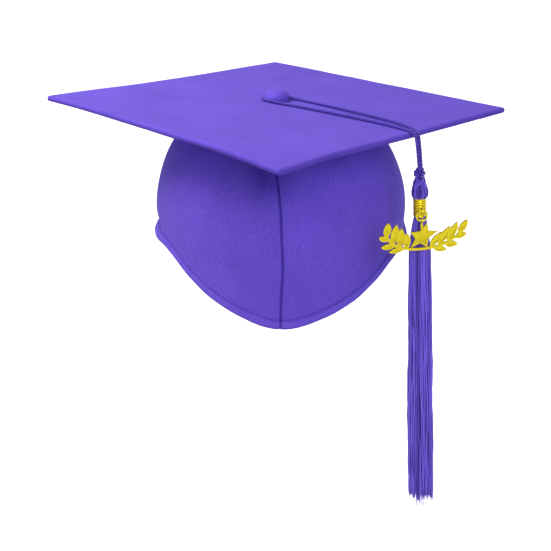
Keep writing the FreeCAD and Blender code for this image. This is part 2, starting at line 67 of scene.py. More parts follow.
CROWN_RADIUS = -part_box("crown_left")[0].x
CROWN_CENTRE = 22 * MM
CROWN_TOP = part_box("crown_left")[1].z
CROWN_SHIFT = 3.5 * MM
SKIRT_SLOPE = 2.5 / 66
PEAK_ARC = (17.0 * MM, 92.1 * MM, 133.5 * MM)
EAR_LEVEL = 4.0 * MM
BACK_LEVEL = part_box("elastic_casing")[0].z
CLOTH_THICK = 0.9 * MM
HEM_WIDTH = 7.0 * MM
HEM_FLARE = 3.1 * MM
RIGHT_HEM_SAG = 3.2 * MM
FRONT_END, BACK_START = (math.radians(angle) for angle in (86, 98))
CHANNEL_TOP = 21.5 * MM
PLEAT_COUNT = TURN * 92 / 9.5
NOTCH_DEPTH = {-1: 3.4 * MM, 1: 0.5 * MM}

BUTTON_LOW, BUTTON_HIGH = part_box("button_cover")
BUTTON = (BUTTON_LOW + BUTTON_HIGH) / 2
BUTTON_RADIUS = (BUTTON_HIGH.x - BUTTON_LOW.x) / 2

# The tassel's pieces are made upright below the knot, then leaned outward about it.
KNOT = (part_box("cord_knot")[0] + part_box("cord_knot")[1]) / 2
JOINTS = frame["record"]["behaviour"]["joints"]
SIDE_AXIS = next(joint["axis"] for joint in JOINTS if joint["name"] == "tassel_side")
LEAN = Matrix.Rotation(math.asin(SIDE_AXIS[2]), 4, Vector((-1, -1, 0)))
HEAD_BOTTOM = 58.2 * MM
BAND_BOTTOM = 43.9 * MM
BAND_RADIUS = 3.5 * MM
BAND_WIRE = 1.0 * MM
BAND_TURNS = 7.3
RING_WIRE = 0.7 * MM
RING_RADIUS = 3.5 * MM
RING_PLACE = (9.0 * MM, 47.2 * MM)
CHARM_PLATE_TOP = 36 * MM

CORD_DIAMETER = 2.2 * MM
CORD_PLIES = 3
CORD_PITCH = 7.6 * MM
STITCH_LENGTH = 2.3 * MM

CAMERA_PLACE = (-0.0092, -0.7296, 0.2657)
CAMERA_HEADING, CAMERA_PITCH, CAMERA_ROLL = (math.radians(angle) for angle in (-0.81, 22.53, 1.0))
CAMERA_LENS = 65.34

FLOOR_LEVEL = -1.3
WASH_PLACE = Vector((0, 8.6, 1.0))
WASH_WIDTH = 15.2

# ---------------- camera and stage


def make_camera():
    """The camera that sees the board's four corners where the reference view has them."""
    data = bpy.data.cameras.new("camera")
    data.sensor_width = 36
    data.lens = CAMERA_LENS
    camera = bpy.data.objects.new("camera", data)
    heading = Matrix.Rotation(CAMERA_HEADING, 4, "Z")
    pitch = Matrix.Rotation(math.pi / 2 - CAMERA_PITCH, 4, "X")
    roll = Matrix.Rotation(CAMERA_ROLL, 4, "Z")
    camera.matrix_world = Matrix.Translation(CAMERA_PLACE) @ heading @ pitch @ roll
    link(camera)
    bpy.context.scene.camera = camera


def make_stage():
    """A pale floor well below the cap, lit all round it, a dim even surround and soft lights."""
    scene = bpy.context.scene
    scene.view_settings.view_transform = "Standard"
    bpy.ops.mesh.primitive_plane_add(size=60, location=(0, 10, FLOOR_LEVEL))
    floor = bpy.context.object
    floor.name = "floor"
    pale = Finish("floor_pale", (0.94, 0.94, 0.94), 1.0, **{"Specular IOR Level": 0.0})
    floor.data.materials.append(pale.material)

    world = bpy.data.worlds.new("surround")
    scene.world = world
    world.use_nodes = True
    background = world.node_tree.nodes["Background"]
    background.inputs["Color"].default_value = (0.86, 0.8, 1.0, 1)
    background.inputs["Strength"].default_value = 0.38

    add_light("overhead_left", (-0.62, -0.02, 0.78), 0.45, 9.8, (1, 1, 0.96), (0, 0, 0.05))
    add_light("front_fill", (0.25, -1.45, 0.85), 0.9, 15, (0.78, 0.74, 1.0), (0, 0, 0))
    washes = (("back", 0, 920), ("right", 90, 270), ("front", 180, 270), ("left", 270, 270))
    for name, heading, power in washes:
        place = Matrix.Rotation(math.radians(-heading), 3, "Z") @ WASH_PLACE
        below = place - Vector((0, 0, 1))
        add_light("floor_wash_" + name, place, WASH_WIDTH, power, (1, 1, 1), below, spread=60)


def add_light(name, place, width, power, colour, target, spread=180):
    """A square soft light that faces a target, with the spread of its beam in degrees."""
    data = bpy.data.lights.new(name, "AREA")
    data.shape = "SQUARE"
    data.size = width
    data.energy = power
    data.spread = math.radians(spread)
    data.color = colour
    light = bpy.data.objects.new(name, data)
    light.location = place
    light.rotation_mode = "QUATERNION"
    light.rotation_quaternion = (Vector(target) - Vector(place)).to_track_quat("-Z", "Y")
    link(light)


# ---------------- mesh helpers


def corners_of(grid):
    """What a grid holds at the four corners of each of its faces."""
    return np.stack([grid[:-1, :-1], grid[:-1, 1:], grid[1:, 1:], grid[1:, :-1]], axis=2)


class Shape:
    """Points, faces and UVs gathered before they become one mesh."""

    def __init__(self):
        self.points = []
        self.faces = []
        self.uvs = []
        self.shades = []
        self.count = 0

    def grid(self, points, uvs, wrap=False, shade=0.5):
        """Add a grid of points (rows, columns, 3); with wrap its last column meets its first."""
        index = self.count + np.arange(points[..., 0].size).reshape(points.shape[:2])
        self.count += index.size
        if wrap:
            index = np.concatenate([index, index[:, :1]], axis=1)
        self.points.append(points.reshape(-1, 3))
        self.shades.append(np.broadcast_to(shade, len(self.points[-1])))
        self.faces += corners_of(index).reshape(-1, 4).tolist()
        self.uvs.append(corners_of(uvs).reshape(-1, 2))

    def piece(self, name, material, weld=True):
        """Make the mesh object, smooth, with its material."""
        mesh = bpy.data.meshes.new(name)
        mesh.from_pydata(np.concatenate(self.points).tolist(), [], self.faces)
        mesh.uv_layers.new(name="UVMap").data.foreach_set("uv", np.concatenate(self.uvs).ravel())
        # shade: each point's own tone, with painted shade and painted light mixed in; 0.5 is plain
        shades = mesh.attributes.new("shade", "FLOAT", "POINT")
        shades.data.foreach_set("value", np.concatenate(self.shades).astype(np.float32))
        if weld:
            merge_doubles(mesh)
        mesh.polygons.foreach_set("use_smooth", [True] * len(mesh.polygons))
        mesh.materials.append(material)
        piece = bpy.data.objects.new(name, mesh)
        link(piece)
        return piece


def link(thing):
    """Put an object into the scene."""
    bpy.context.scene.collection.objects.link(thing)


def merge_doubles(mesh):
    """Join points that coincide, and point every face outward."""
    work = bmesh.new()
    work.from_mesh(mesh)
    bmesh.ops.remove_doubles(work, verts=work.verts, dist=1e-7)
    bmesh.ops.recalc_face_normals(work, faces=work.faces)
    work.to_mesh(mesh)
    work.free()


def unit(vectors):
    return vectors / np.maximum(np.linalg.norm(vectors, axis=-1, keepdims=True), 1e-12)


def bump_at(values, centre, width):
    """A smooth hump of height 1 about a centre."""
    return np.exp(-(((values - centre) / width) ** 2))


def ease(values, start, end):
    """0 before start, 1 after end and smooth between."""
    share = np.clip((values - start) / (end - start), 0, 1)
    return share * share * (3 - 2 * share)


def ripples(seed, wavelengths, x, y=0.0, *more):
    """Smooth unevenness of about -1 to 1, from waves in random directions."""
    places = (x, y, *more)
    random = np.random.default_rng(seed)
    total = 0.0
    for wavelength in wavelengths:
        for _ in range(4):
            direction = unit(random.normal(size=len(places)))
            along = sum(place * part for place, part in zip(places, direction))
            total = total + np.sin(TURN * (along / wavelength + random.random()))
    return total / (2.2 * math.sqrt(len(wavelengths)) * 1.4)


def lengths_along(line):
    """How far along a line each of its points lies."""
    return np.concatenate([[0], np.cumsum(np.linalg.norm(np.diff(line, axis=0), axis=1))])


def read_off(values, along, at):
    """A line's values at other lengths along it."""
    return np.stack([np.interp(at, along, values[:, axis]) for axis in range(3)], axis=1)


def outward_at(angle):
    """Level directions at angles from +X towards +Y."""
    return np.stack([np.cos(angle), np.sin(angle), angle * 0], axis=-1)


def tube(shape, line, radius, outward, sides=6, twist=0.0, shade=0.5, groove=0.0, round_ends=True):
    """A strand along a line. outward is the direction that its first side faces, and
    groove how much painted shade darkens the strand away from that side, with painted
    light on that side itself."""
    count = len(line)
    radius = np.broadcast_to(np.asarray(radius, float), count).copy()
    ahead = unit(np.gradient(line, axis=0))
    outward = np.broadcast_to(outward, line.shape)
    first = unit(outward - (outward * ahead).sum(1, keepdims=True) * ahead)
    second = np.cross(ahead, first)
    along = lengths_along(line)
    if round_ends:
        before = line[:1] - ahead[:1] * radius[0] * 0.5
        after = line[-1:] + ahead[-1:] * radius[-1] * 0.5
        line = np.concatenate([before, line, after])
        first, second = (np.concatenate([v[:1], v, v[-1:]]) for v in (first, second))
        radius = np.concatenate([radius[:1] * 0.5, radius, radius[-1:] * 0.5])
        along = np.concatenate([along[:1], along, along[-1:]])
    angle = np.linspace(0, TURN, sides, endpoint=False)
    ring = np.cos(angle)[None, :, None] * first[:, None] + np.sin(angle)[None, :, None] * second[:, None]
    points = line[:, None] + ring * radius[:, None, None]
    around = np.linspace(0, 1, sides + 1)[None, :] + along[:, None] * twist
    uvs = np.stack([around, np.broadcast_to(along[:, None], around.shape)], axis=-1)
    # painted light on the side that faces outward and painted shade on the sides turned away from it, as if
    # lit from outside
    tone = shade + groove * (np.cos(angle) - 0.4)
    shape.grid(points, uvs, wrap=True, shade=np.tile(tone, len(line)))
    base = shape.count - len(line) * sides
    for row, order in ((0, -1), (len(line) - 1, 1)):
        shape.faces.append([base + row * sides + index for index in range(sides)][::order])
        shape.uvs.append(np.tile(uvs[row, 0], (sides, 1)))


def moving_frame(line):
    """Directions square to a line that turn with it as little as they can."""
    ahead = unit(np.gradient(line, axis=0))
    side = np.zeros_like(line)
    side[0] = unit(np.cross(ahead[0], (0.3, 0.5, 0.8)))
    for index in range(1, len(line)):
        carried = side[index - 1] - (side[index - 1] @ ahead[index]) * ahead[index]
        side[index] = carried / np.linalg.norm(carried)
    return side, np.cross(ahead, side)


def rope(shape, line, diameter, seed):
    """A laid rope of several plies along a line."""
    given = lengths_along(line)
    along = np.linspace(0, given[-1], math.ceil(given[-1] / (0.4 * MM)) + 1)
    line = read_off(line, given, along)
    side, across = moving_frame(line)
    random = np.random.default_rng(seed)
    ply_radius = diameter * 0.262
    reach = diameter * 0.53 - ply_radius
    for ply in range(CORD_PLIES):
        angle = TURN * (ply / CORD_PLIES - along / CORD_PITCH)
        outward = np.cos(angle)[:, None] * side + np.sin(angle)[:, None] * across
        swell = 1 + 0.04 * np.sin(TURN * along / (11 * MM) + random.random() * TURN)
        middle = line + outward * reach
        shade = random.uniform(0.3, 0.5)
        # groove paints shade into the hollows between the plies and light on their crests
        tube(shape, middle, ply_radius * swell, outward, sides=8, twist=700, shade=shade, groove=1.1)


def from_button(out, side, height):
    """A place in mm from the button: out to the front-right edge, along it, and up."""
    right, back = (out + side) * ROOT * MM, (side - out) * ROOT * MM
    return Vector((BUTTON.x + right, BUTTON.y + back, height * MM))


def stitches(shape, line, outward, pitch=3.0 * MM, radius=0.2 * MM):
    """A row of sewn stitches along a line on a surface that faces outward."""
    along = lengths_along(line)
    arch = np.sin(np.linspace(0, math.pi, 5)) - 0.35
    for start in np.arange(pitch * 0.5, along[-1] - STITCH_LENGTH, pitch):
        at = start + STITCH_LENGTH * np.linspace(0, 1, 5)
        facing = unit(read_off(outward, along, at))
        middle = read_off(line, along, at) + facing * (arch * radius)[:, None]
        tube(shape, middle, radius, facing, sides=5, twist=600)


def settle(piece, body, slot, node=None):
    """Let a piece ride a body, in place of a frame node if one is named."""
    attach(piece, body)
    if node:
        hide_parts(node)
    return piece


# ---------------- materials


class Finish:
    """A node material built up step by step on one principled shader."""

    def __init__(self, name, colour, roughness, **sockets):
        self.material = bpy.data.materials.new(name)
        self.material.use_nodes = True
        self.tree = self.material.node_tree
        self.shader = self.tree.nodes["Principled BSDF"]
        self.set_inputs(self.shader, {"Base Color": (*colour, 1), "Roughness": roughness, **sockets})

    def set_inputs(self, node, values):
        for socket, value in values.items():
            if isinstance(value, bpy.types.NodeSocket):
                self.tree.links.new(value, node.inputs[socket])
            else:
                node.inputs[socket].default_value = value

    def node(self, kind, inputs=None, **settings):
        made = self.tree.nodes.new("ShaderNode" + kind)
        for setting, value in settings.items():
            setattr(made, setting, value)
        self.set_inputs(made, inputs or {})
        return made

    def uv(self):
        return self.node("TexCoord").outputs["UV"]

    def place(self):
        return self.node("TexCoord").outputs["Object"]

    def noise(self, scale, detail=2.0, vector=None):
        inputs = {"Scale": scale, "Detail": detail, "Vector": vector or self.place()}
        return self.node("TexNoise", inputs).outputs["Fac"]

    def wave(self, direction, scale, distortion=0.0, vector=None):
        inputs = {"Scale": scale, "Distortion": distortion, "Vector": vector or self.uv()}
        made = self.node("TexWave", inputs, wave_type="BANDS", bands_direction=direction)
        return made.outputs["Fac"]

    def math(self, operation, first, second):
        return self.node("Math", {0: first, 1: second}, operation=operation).outputs[0]

    def blend(self, *weighted):
        """The sum of (value, weight) pairs."""
        parts = [self.math("MULTIPLY", value, weight) for value, weight in weighted]
        total = parts[0]
        for part in parts[1:]:
            total = self.math("ADD", total, part)
        return total

    def mixed(self, value, stops):
        """A colour ramp over a value, from (position, colour) stops."""
        ramp = self.node("ValToRGB", {"Fac": value})
        elements = ramp.color_ramp.elements
        while len(elements) < len(stops):
            elements.new(0.5)
        for element, (position, colour) in zip(elements, stops):
            element.position = position
            element.color = (*colour, 1)
        return ramp.outputs["Color"]

    def colour(self, value):
        self.set_inputs(self.shader, {"Base Color": value})

    def bump(self, height, distance, strength):
        made = self.node("Bump", {"Height": height, "Distance": distance, "Strength": strength})
        self.set_inputs(self.shader, {"Normal": made.outputs["Normal"]})


def shaded(colour, factor):
    return tuple(min(1.0, part * factor) for part in colour)


def woven(name, colour, thread=0.42 * MM):
    """Matt woven cloth: fine crossed threads, slubs and a faint mottle, with painted shade and painted light
    from each point's shade attribute.
    """
    gloss = {"Specular IOR Level": 0.1, "Specular Tint": (0.7, 0.62, 1.0, 1)}
    sheen = {"Sheen Weight": 0.06, "Sheen Roughness": 0.45, "Sheen Tint": (0.72, 0.66, 1.0, 1)}
    finish = Finish(name, colour, 0.82, **gloss, **sheen)
    bands = 0.314 / thread
    threads = finish.blend((finish.wave("X", bands, 0.6), 1.0), (finish.wave("Y", bands, 0.6), 1.0))
    mottle = finish.noise(850, 3.0)
    patches = finish.noise(28, 2.0)
    raised = finish.math("SUBTRACT", threads, 1.0)
    tone = finish.blend((mottle, 0.72), (patches, 0.28), (raised, 0.05))
    dye = finish.mixed(tone, [(0.28, shaded(colour, 0.76)), (0.72, shaded(colour, 1.24))])
    # the shade attribute paints shade into the dye below 0.5, darkening it towards deep violet, and paints
    # light above 0.5
    shade = finish.node("Attribute", attribute_name="shade").outputs["Fac"]
    depth = finish.mixed(shade, [(0.0, (0.05, 0.01, 0.2)), (0.5, (0.5, 0.5, 0.5)), (1.0, (1, 1, 1))])
    dye = finish.node("VectorMath", {0: dye, 1: depth}, operation="MULTIPLY").outputs[0]
    finish.colour(finish.node("VectorMath", {0: dye, "Scale": 2.0}, operation="SCALE").outputs[0])
    finish.bump(finish.blend((threads, 1.0), (mottle, 1.2)), 0.12 * MM, 0.35)
    return finish.material


def spun(name, dark, light, gloss=0.42, stops=(0.15, 0.85)):
    """Shiny rayon yarn: twisted fibres, each strand a little lighter or darker, with painted shade and light
    across each strand from the shade attribute.
    """
    sockets = {"Specular IOR Level": 0.4, "Specular Tint": (0.62, 0.52, 1.0, 1)}
    finish = Finish(name, light, gloss, **sockets)
    shade = finish.node("Attribute", attribute_name="shade").outputs["Fac"]
    fibres = finish.wave("X", 3 / 3.183, 1.2)
    fleck = finish.noise(1400, 2.0)
    tone = finish.blend((shade, 0.6), (fibres, 0.22), (fleck, 0.22))
    finish.colour(finish.mixed(tone, [(stops[0], dark), (stops[1], light)]))
    finish.bump(finish.blend((fibres, 1.0), (fleck, 0.5)), 0.15 * MM, 0.9)
    return finish.material


def plated(name, colour, roughness, grain, depth, metal, contrast):
    """Gold-tone plating with fine unevenness and slightly uneven gloss."""
    finish = Finish(name, colour, roughness, Metallic=metal, **{"Specular IOR Level": 0.3})
    speck = finish.noise(grain, 3.0)
    low, high = shaded(colour, 1 - contrast), shaded(colour, 1 + contrast)
    finish.colour(finish.mixed(speck, [(0.36, low), (0.64, high)]))
    limits = {"To Min": roughness * 0.7, "To Max": roughness * 1.4}
    uneven = finish.node("MapRange", {"Value": finish.noise(300, 2.0), **limits})
    finish.set_inputs(finish.shader, {"Roughness": uneven.outputs["Result"]})
    finish.bump(speck, depth, 0.5)
    return finish.material


def brushed(name, colour, roughness):
    """Turned or rolled metal with fine drawn lines."""
    finish = Finish(name, colour, roughness, Metallic=1.0)
    drawn = finish.node("Mapping", {"Vector": finish.place(), "Scale": (1, 0.04, 1)})
    lines = finish.noise(2600, 1.0, drawn.outputs[0])
    finish.colour(finish.mixed(lines, [(0.3, shaded(colour, 0.85)), (0.7, colour)]))
    finish.bump(lines, 0.03 * MM, 0.4)
    return finish.material


def pressed(name, colour):
    """Grey card with paper fibres."""
    finish = Finish(name, colour, 0.9)
    fibres = finish.noise(700, 5.0)
    finish.colour(finish.mixed(fibres, [(0.3, shaded(colour, 0.8)), (0.7, colour)]))
    finish.bump(fibres, 0.1 * MM, 0.5)
    return finish.material


def ribbed(name, colour):
    """Woven elastic with ribs along its length."""
    finish = Finish(name, colour, 0.7)
    ribs = finish.wave("Z", 0.314 / (0.9 * MM), 0.3, finish.place())
    fleck = finish.noise(900, 2.0)
    finish.colour(finish.mixed(ribs, [(0.2, shaded(colour, 0.6)), (0.8, colour)]))
    finish.bump(finish.blend((ribs, 1.0), (fleck, 1.0)), 0.2 * MM, 0.6)
    return finish.material


PURPLE = (0.138, 0.083, 0.52)
THREAD = (0.085, 0.045, 0.36)
YARN_DARK = (0.04, 0.016, 0.25)
YARN_LIGHT = (0.29, 0.20, 0.98)
GOLD = (1.0, 0.8, 0.025)

CLOTH = woven("purple_cloth", PURPLE)
LINING = woven("purple_lining", shaded(PURPLE, 0.9), thread=0.5 * MM)
SEWING = spun("purple_thread", shaded(THREAD, 0.7), THREAD)
CORD = spun("purple_cord", (0.016, 0.002, 0.2), (0.3, 0.21, 0.95), gloss=0.36, stops=(0.52, 1.0))
YARN = spun("purple_yarn", YARN_DARK, YARN_LIGHT, gloss=0.45)
BRIGHT_GOLD = plated("gold_bright", GOLD, 0.22, 900, 0.02 * MM, 0.8, 0.1)
SATIN_GOLD = plated("gold_satin", (0.88, 0.7, 0.003), 0.4, 1500, 0.4 * MM, 0.45, 0.42)
STEEL = brushed("steel_rolled", (0.6, 0.6, 0.62), 0.35)
CARD = pressed("grey_card", (0.4, 0.38, 0.35))
ELASTIC = ribbed("elastic_purple", shaded(PURPLE, 0.8))

# ---------------- the cord

LOOP_OUT = [(136.9, -3.75, 79.4), (134.6, -3.85, 92.0), (132.3, -4.1, 101.4), (122.5, -2.5, 101.4)]
LOOP_OUT += [(108.0, -0.9, 101.4), (84.0, -1.2, 101.4), (48.0, -4.2, 101.4), (15.0, -8.7, 101.4)]
LOOP_ROUND = [(angle, 11.69) for angle in (15.75, 63.25, 110.75, 158.25)]
LOOP_BACK = [(14.0, 10.2, 101.4), (44.0, 11.3, 101.4), (80.0, 10.3, 101.4), (104.0, 8.8, 101.4)]
LOOP_BACK += [(118.5, 5.4, 101.4), (132.3, -0.9, 101.4), (134.6, -1.15, 92.0), (136.9, -1.25, 79.4)]


def loop_points():
    """The route: up from the knot, in over the edge, round the button and back."""
    turn = [
        (-reach * math.sin(math.radians(angle)), -reach * math.cos(math.radians(angle)), 101.4)
        for angle, reach in LOOP_ROUND
    ]
    return [from_button(*place) for place in LOOP_OUT + turn + LOOP_BACK]


def smooth_line(name, places):
    """Points along a NURBS curve through a route's control points."""
    data = bpy.data.curves.new(name, "CURVE")
    data.dimensions = "3D"
    data.resolution_u = 32
    spline = data.splines.new("NURBS")
    spline.points.add(len(places) - 1)
    for point, place in zip(spline.points, places):
        point.co = (*place, 1)
    spline.order_u = 3
    spline.use_endpoint_u = True
    holder = bpy.data.objects.new(name, data)
    mesh = bpy.data.meshes.new_from_object(holder)
    line = np.array([vertex.co for vertex in mesh.vertices], float)
    bpy.data.objects.remove(holder)
    bpy.data.meshes.remove(mesh)
    return line


def make_loop_cord():
    line = smooth_line("loop_route", loop_points())
    shape = Shape()
    rope(shape, line, CORD_DIAMETER, seed=3)
    piece = settle(shape.piece("loop_cord_rope", CORD, weld=False), "loop", "cord", "loop_cord")


# ---------------- plates and lathes


def square_loop(half, offset, per_side):
    """The outline of a square pushed outward by offset, with round corners."""
    outline = []
    straight = np.linspace(-half, half, per_side)
    for quarter in range(4):
        turn = math.radians(90 * quarter)
        ahead = np.array([math.cos(turn), math.sin(turn)])
        along = np.array([-math.sin(turn), math.cos(turn)])
        drawn_in = 1 if offset > 0 else (half + offset) / half
        side = [ahead * (half + offset) + along * place * drawn_in for place in straight]
        corner = (ahead + along) * half
        for spread in turn + np.radians(range(15, 90, 15)):
            reach = np.array([math.cos(spread), math.sin(spread)]) * offset
            side.append(corner + reach if offset > 0 else (ahead + along) * (half + offset))
        outline += side
    return np.array(outline)


def level_grid(half, count, height):
    """A square grid of places at one height."""
    straight = np.linspace(-half, half, count)
    across, along = np.meshgrid(straight, straight)
    return np.stack([across, along, np.full_like(across, height)], axis=-1)


def plate(shape, half, corner, profile, per_side, wander, painted_ring_shades=(0.5,)):
    """A square plate on its corner: a grid on top, then rings down the profile.

    The profile's places are pushed out from the square inside the round corners,
    with a height. wander makes places uneven and turns them to the frame, and the
    last argument gives each ring's painted shade, darker below 0.5, which is plain.
    """
    inner = half - corner
    top = level_grid(inner, per_side, profile[0][1])
    shape.grid(wander(top), top[..., :2])
    rings = []
    marks = []
    travelled = 0.0
    last = profile[0]
    for offset, height in profile:
        travelled += math.hypot(offset - last[0], height - last[1])
        last = (offset, height)
        outline = square_loop(inner, offset, per_side)
        rings.append(np.column_stack([outline, np.full(len(outline), height)]))
        flat = square_loop(inner, 1e-9, per_side)
        marks.append(flat + unit(flat) * travelled)
    marks = np.array(marks)
    shade = np.repeat(np.broadcast_to(painted_ring_shades, len(profile)), len(rings[0]))
    marks = np.concatenate([marks, marks[:, :1]], axis=1)
    shape.grid(wander(np.array(rings)), marks, wrap=True, shade=shade)
    base = level_grid(inner + profile[-1][0], per_side, profile[-1][1])
    shape.grid(wander(base)[:, ::-1], base[:, ::-1, :2])


def on_corner(points):
    """Turn a plate's own axes so that a corner points to the front."""
    out, side, height = points[..., 0], points[..., 1], points[..., 2]
    return np.stack([(out + side) * ROOT, (side - out) * ROOT, height], axis=-1)


def arc_profile(centre, radius, start, end, steps):
    """Places on an arc of a profile, with angles in degrees from outward to up."""
    angles = np.radians(np.linspace(start, end, steps))
    return [(centre[0] + radius * math.cos(a), centre[1] + radius * math.sin(a)) for a in angles]


def lathe(shape, profile, centre, segments, wander):
    """A turned form from (radius, height) places."""
    angle = np.linspace(0, TURN, segments, endpoint=False)
    profile = np.array(profile)
    reach, height = profile[:, :1], profile[:, 1:]
    level = np.broadcast_to(height, (len(profile), segments))
    points = np.stack([reach * np.cos(angle), reach * np.sin(angle), level], axis=-1)
    flat = points[..., :2]
    uvs = np.concatenate([flat, flat[:, :1]], axis=1)
    points = wander(points, np.broadcast_to(angle, points.shape[:2]))
    shape.grid(points + np.array([centre[0], centre[1], 0]), uvs, wrap=True)


# ---------------- the board


def board_lift(points):
    """How far the board's sheets have bent up: most along the left, with the front tip down."""
    x, y = points[..., 0], points[..., 1]
    heading = np.degrees(np.arctan2(x, -y))
    from_left = (heading + 55 + 180) % 360 - 180
    lift = BOARD_BEND * bump_at(from_left, 0, 62) * ease(np.hypot(x, y), 62 * MM, 150 * MM)
    tip = np.hypot(x, y + BOARD_HALF / ROOT)
    return lift - FRONT_TIP_DROP * bump_at(tip, 0, 34 * MM)


def bent(points):
    """A board sheet's places turned to the frame's axes and bent with the board."""
    turned = on_corner(points)
    turned[..., 2] += board_lift(turned)
    return turned


def make_board():
    roll, under = 2.4 * MM, 1.2 * MM
    profile = [(0.0, BOARD_TOP)]
    profile += arc_profile((BOARD_CORNER - roll, BOARD_TOP - roll), roll, 84, 4, 9)
    profile += arc_profile((BOARD_CORNER - 0.15 * MM - under, BOARD_BOTTOM + under), under, 5, -90, 6)
    profile += [(-8 * MM, BOARD_BOTTOM + 0.05 * MM), (-8.4 * MM, BOARD_BOTTOM + 0.3 * MM)]
    # painted shade: the board's edge roll darkens down towards its underside, where less light falls
    painted_ring_shades = np.interp(np.arange(len(profile)), [0, 3, 9, 11, 15], [0.5, 0.49, 0.33, 0.29, 0.29])

    def wander(points):
        points = points.copy()
        x, y = points[..., 0].copy(), points[..., 1].copy()
        points[..., 2] += ripples(11, [0.05, 0.11], x, y) * 0.14 * MM
        edge = unit(points[..., :2]) * (ripples(12, [0.03, 0.07], x, y) * 0.12 * MM)[..., None]
        near_edge = ease(np.maximum(np.abs(x), np.abs(y)), BOARD_HALF - 6 * MM, BOARD_HALF)
        points[..., :2] += edge * near_edge[..., None]
        return bent(points)

    shape = Shape()
    plate(shape, BOARD_HALF, BOARD_CORNER, profile, 97, wander, painted_ring_shades)
    cover = settle(shape.piece("board_cloth", CLOTH), "cap", "cloth", "board_cover_top")
    make_board_core()
    make_board_lining()


def make_board_core():
    """The card inside, cut a little smaller than the cover."""
    shape = Shape()
    top, low = BOARD_TOP - 0.6 * MM, BOARD_BOTTOM + 0.6 * MM
    profile = [(0.0, top), (0.8 * MM, top), (1.0 * MM, top - 0.2 * MM)]
    profile += [(1.0 * MM, low + 0.2 * MM), (0.8 * MM, low)]
    plate(shape, BOARD_HALF - 3.2 * MM, 1.0 * MM, profile, 41, bent)
    settle(shape.piece("board_card", CARD), "cap", "card", "board_core")


def make_board_lining():
    """The sheet sewn over the underside, with a turned edge."""
    half, corner = BOARD_HALF - 7.5 * MM, 1.2 * MM
    top, low = BOARD_BOTTOM + 0.28 * MM, BOARD_BOTTOM - 0.45 * MM
    profile = [(0.0, top)] + arc_profile((corner - 0.35 * MM, (top + low) / 2), 0.35 * MM, 80, -80, 5)
    profile += [(-1.5 * MM, low), (-5.5 * MM, low + 0.12 * MM), (-6.5 * MM, low + 0.3 * MM)]

    def wander(points):
        points = points.copy()
        points[..., 2] += ripples(21, [0.03, 0.07], points[..., 0], points[..., 1]) * 0.1 * MM
        return bent(points)

    shape = Shape()
    plate(shape, half, corner, profile, 81, wander)
    lining = settle(shape.piece("board_lining", LINING), "cap", "cloth", "board_cover_under")

    thread = Shape()
    reach = half - 4 * MM
    corners = [reach * np.array(signs) for signs in ((-1, -1, 0), (1, -1, 0), (1, 1, 0), (-1, 1, 0))]
    corners = [corner + np.array((0, 0, low)) for corner in corners]
    for start, end in zip(corners, corners[1:] + corners[:1]):
        line = bent(start + (end - start) * np.linspace(0.01, 0.99, 80)[:, None])
        stitches(thread, line, np.tile((0.0, 0.0, -1.0), (80, 1)), pitch=3.4 * MM)
    settle(thread.piece("board_lining_stitches", SEWING, weld=False), "cap", "cloth")


# ---------------- the skull cap


def hem_height(angle):
    """The height of the lower edge, from the pointed front round to the level back."""
    middle, centre, radius = PEAK_ARC
    reach = CROWN_RADIUS * np.sin(np.minimum(angle, math.pi / 2)) + middle
    peak = centre - np.sqrt(radius**2 - reach**2)
    blend = 2.0 * MM
    front = EAR_LEVEL - blend * np.log1p(np.exp((EAR_LEVEL - peak) / blend))
    share = ease(angle, math.radians(84), math.radians(98))
    return front * (1 - share) + BACK_LEVEL * share


def front_share(angle):
    """1 along the pointed front and 0 along the gathered back."""
    return 1 - ease(angle, FRONT_END, BACK_START)


def crown_shift(height):
    """How far the soft cap hangs to the right of the board's middle at a height."""
    return CROWN_SHIFT + 0.01 * (CROWN_TOP - height)


def seam_place(height):
    """How far the front seam lies to the right of the board's middle, with its small waves."""
    sag = 4.5 * MM * (1 - ((height + 10 * MM) / (80 * MM)) ** 2)
    return sag + 0.3 * MM * np.sin(height / (17 * MM)) + 0.25 * MM * np.sin(height / (7.5 * MM) + 1.0)


def crown_point(side, angle, height, inset=0.0):
    """A place on the crown's cloth and the direction out of it.

    angle runs from the front seam round one side to the back seam; inset moves
    inward through the cloth.
    """
    above = height > CROWN_CENTRE
    ball = np.sqrt(np.maximum(CROWN_RADIUS**2 - (height - CROWN_CENTRE) ** 2, 1e-6))
    skirt = CROWN_RADIUS - (CROWN_CENTRE - height) * SKIRT_SLOPE
    reach = np.where(above, ball, skirt)
    lift = np.where(above, (height - CROWN_CENTRE) / CROWN_RADIUS, -SKIRT_SLOPE)
    level = np.sqrt(1 - lift**2)
    out = np.stack([side * np.sin(angle) * level, -np.cos(angle) * level, lift], axis=-1)
    place = np.stack([side * np.sin(angle) * reach, -np.cos(angle) * reach, height], axis=-1)
    move = crown_relief(side, angle, height, reach) - inset
    place = place + out * move[..., None]
    at_seam = bump_at(angle * reach, 0, 24 * MM)
    place[..., 0] += crown_shift(height) * (1 - at_seam) + seam_place(height) * at_seam
    if side > 0:
        rise = np.maximum(height - hem_height(angle), 0)
        place[..., 2] -= RIGHT_HEM_SAG * bump_at(np.degrees(angle), 52, 30) * np.exp(-rise / (35 * MM))
    return place, out


